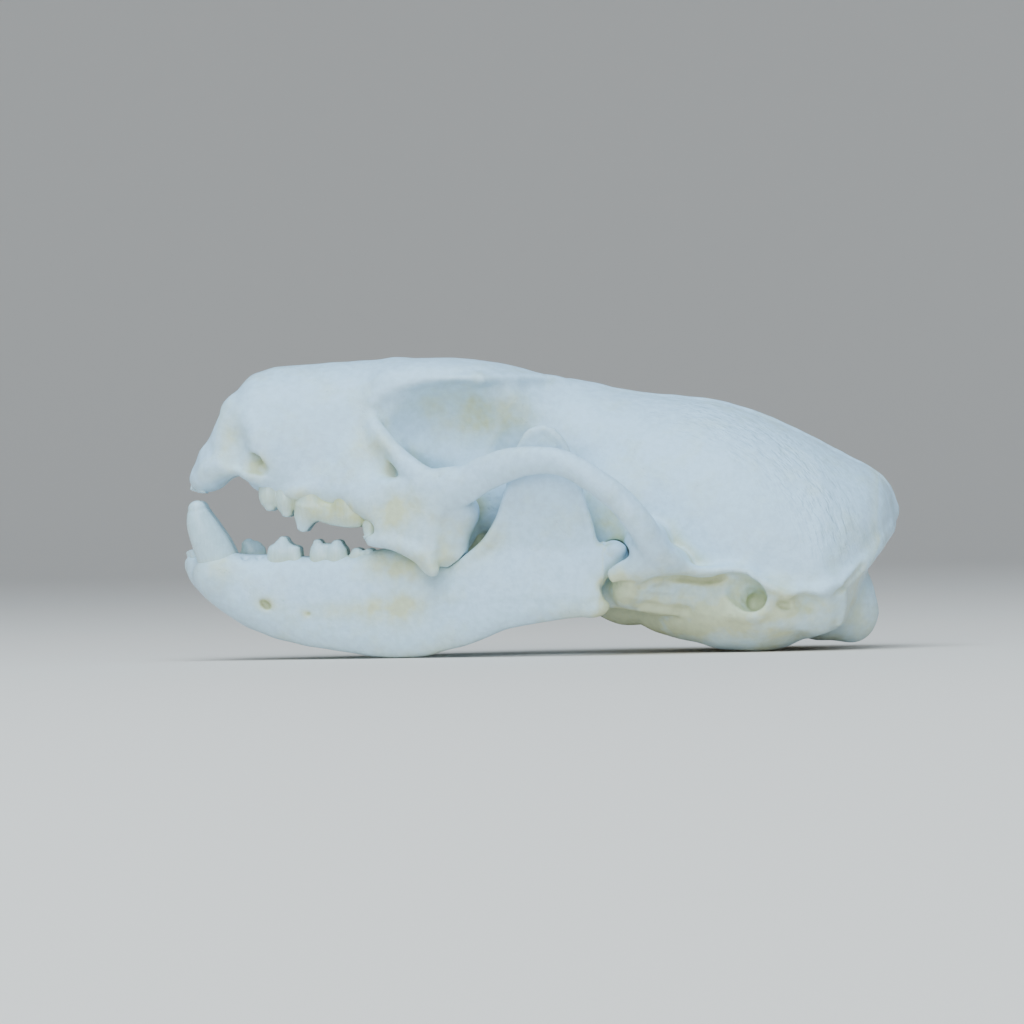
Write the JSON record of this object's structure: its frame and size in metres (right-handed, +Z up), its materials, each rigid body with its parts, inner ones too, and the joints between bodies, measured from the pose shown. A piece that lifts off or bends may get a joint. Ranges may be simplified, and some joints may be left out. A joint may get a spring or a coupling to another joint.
{
  "type": "mink skull",
  "caption": "Life-size skull of an American mink with its lower jaws in place, mouth slightly open, standing on the jaws and the ear capsules.",
  "frame": {"origin": "centre of the bounding box in plan, at the level of the table that the jaws and the ear capsules rest on", "axes": "+Z up; the snout points to -X, so +X runs to the back of the head; -Y is the animal's left side"},
  "size_m": [0.0674, 0.0387, 0.0282],
  "materials": {
    "rostrum": "dry cleaned bone, pale and slightly yellow in the hollows, with enamelled teeth",
    "braincase": "dry cleaned bone, chalky white, faintly streaked by muscle scars",
    "arch": "dry cleaned bone, smooth",
    "bulla": "thin, slightly translucent bone, yellower than the rest",
    "mandible": "dry cleaned bone, smooth, with enamelled teeth"
  },
  "bodies": {
    "root": {"rostrum": "rostrum", "braincase": "braincase", "zygomatic_arch_left": "arch", "zygomatic_arch_right": "arch", "auditory_bulla_left": "bulla", "auditory_bulla_right": "bulla", "mandible_left": "mandible", "mandible_right": "mandible"}
  },
  "joints": []
}
